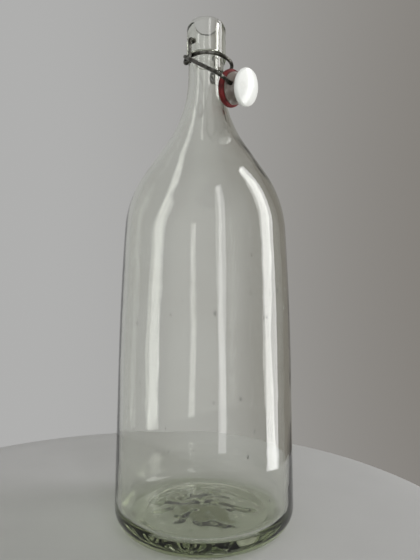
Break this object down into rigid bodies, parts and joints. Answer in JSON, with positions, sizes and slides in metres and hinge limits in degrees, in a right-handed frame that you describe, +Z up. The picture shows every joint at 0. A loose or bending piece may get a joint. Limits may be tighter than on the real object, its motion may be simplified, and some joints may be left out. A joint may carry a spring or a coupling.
{
  "type": "swing top bottle",
  "caption": "Tall clear glass bottle with a wire swing closure: porcelain stopper and rubber gasket hang open on a bail from a lever wire held in dimples below the mouth.",
  "frame": {"origin": "middle of the standing ring, on the plane the bottle stands on", "axes": "+Z up the bottle's axis; +X along the pivots of the closure; the open stopper hangs on the -Y side"},
  "size_m": [0.1116, 0.1116, 0.3366],
  "materials": {
    "bottle_glass": "clear old glass with a faint green tint and a wavy surface",
    "closure_wire": "dark oxidised steel wire, worn bright along its crown",
    "porcelain": "glossy white glaze",
    "gasket_rubber": "dull dark red rubber"
  },
  "bodies": {
    "bottle": {"glass_bottle": "bottle_glass"},
    "lever": {"lever_wire": "closure_wire"},
    "bail": {"stopper_bail": "closure_wire"},
    "stopper": {"porcelain_stopper": "porcelain", "rubber_gasket": "gasket_rubber"}
  },
  "joints": [
    {"name": "lever_swing", "type": "hinge", "parent": "bottle", "child": "lever", "pos_m": [0, 0, 0.31831], "axis": [-1, 0, 0], "range_deg": [0, 84]},
    {"name": "bail_swing", "type": "hinge", "parent": "lever", "child": "bail", "pos_m": [0, 0.003, 0.30461], "axis": [-1, 0, 0], "range_deg": [0, 65.4]},
    {"name": "stopper_turn", "type": "hinge", "parent": "bail", "child": "stopper", "pos_m": [0, -0.02681, 0.28031], "axis": [-1, 0, 0], "range_deg": [-42.6, 0]}
  ],
  "couplings": [
    {"joint": "stopper_turn", "follows": "bail_swing", "ratio": -0.6485}
  ]
}
